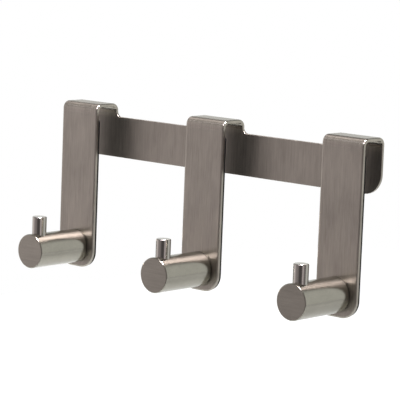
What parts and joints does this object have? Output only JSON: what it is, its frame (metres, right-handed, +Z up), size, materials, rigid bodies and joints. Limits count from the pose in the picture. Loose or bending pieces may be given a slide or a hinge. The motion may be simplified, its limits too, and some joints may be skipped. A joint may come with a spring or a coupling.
{
  "type": "shower screen towel hook",
  "caption": "Folded brushed steel bracket that hangs over the edge of a glass shower screen and carries a row of round towel pegs, each with an upright stop pin.",
  "frame": {"origin": "underside of the middle tab, where it rests on the edge of the glass, halfway across the slot", "axes": "+X along the rail, -Y out along the pegs, +Z up"},
  "size_m": [0.169, 0.0425, 0.0735],
  "materials": {
    "bracket_steel": "fine brushed, grain running up the straps",
    "peg_steel": "satin, turned",
    "pin_steel": "polished",
    "pad_rubber": "matt black",
    "screw_steel": "plain bright"
  },
  "bodies": {
    "root": {"bracket": "bracket_steel", "screen_pad_left": "pad_rubber", "peg_left": "peg_steel", "stop_pin_left": "pin_steel", "peg_screw_left": "screw_steel", "screen_pad_middle": "pad_rubber", "peg_middle": "peg_steel", "stop_pin_middle": "pin_steel", "peg_screw_middle": "screw_steel", "screen_pad_right": "pad_rubber", "peg_right": "peg_steel", "stop_pin_right": "pin_steel", "peg_screw_right": "screw_steel"}
  },
  "joints": []
}
